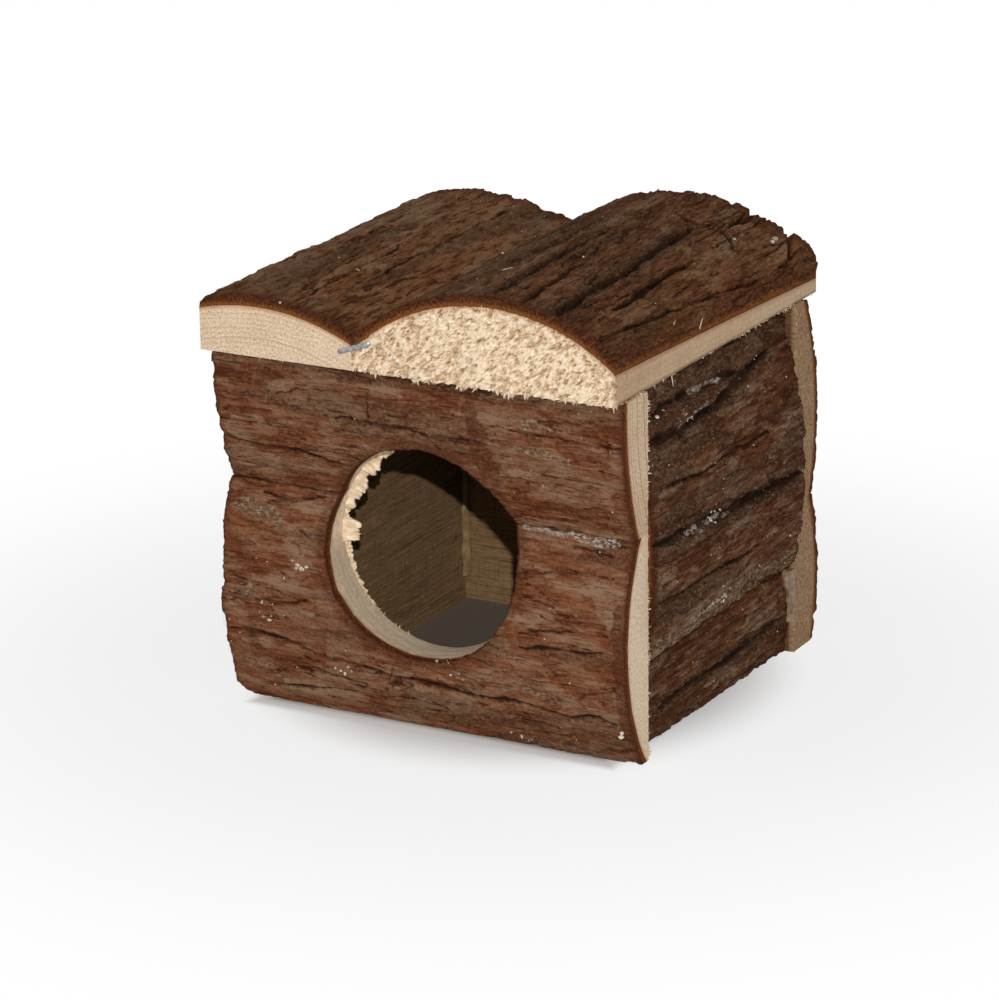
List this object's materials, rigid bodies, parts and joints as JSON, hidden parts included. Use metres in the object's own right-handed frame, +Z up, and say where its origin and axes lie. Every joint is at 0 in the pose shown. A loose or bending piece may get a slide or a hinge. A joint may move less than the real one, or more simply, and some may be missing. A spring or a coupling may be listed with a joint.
{
  "type": "rodent house",
  "caption": "Small open-bottomed wooden rodent house of bark-on split-log slabs, with a round entrance in the front wall and a twin-arched slab roof with a central valley.",
  "frame": {"origin": "centre of the house's outline, on the ground that the walls stand on", "axes": "+Z up, -Y out of the round entrance at the front, +X to the right seen from the front"},
  "size_m": [0.1118, 0.109, 0.1085],
  "materials": {
    "sawn_wood": "rough-sawn pale softwood, untreated",
    "bark": "natural reddish-brown bark, furrowed and flaky",
    "staple_wire": "galvanised wire",
    "hot_glue": "translucent hot-melt glue"
  },
  "bodies": {
    "root": {"front_lower_slab": "sawn_wood", "front_lower_bark": "bark", "front_upper_slab": "sawn_wood", "front_upper_bark": "bark", "rear_lower_slab": "sawn_wood", "rear_lower_bark": "bark", "rear_upper_slab": "sawn_wood", "rear_upper_bark": "bark", "left_lower_slab": "sawn_wood", "left_lower_bark": "bark", "left_upper_slab": "sawn_wood", "left_upper_bark": "bark", "right_lower_slab": "sawn_wood", "right_lower_bark": "bark", "right_upper_slab": "sawn_wood", "right_upper_bark": "bark", "roof_left_slab": "sawn_wood", "roof_left_bark": "bark", "roof_right_slab": "sawn_wood", "roof_right_bark": "bark", "valley_staple_front": "staple_wire", "valley_staple_rear": "staple_wire", "corner_glue": "hot_glue", "roof_glue": "hot_glue", "glue_squeeze_out": "hot_glue"}
  },
  "joints": []
}
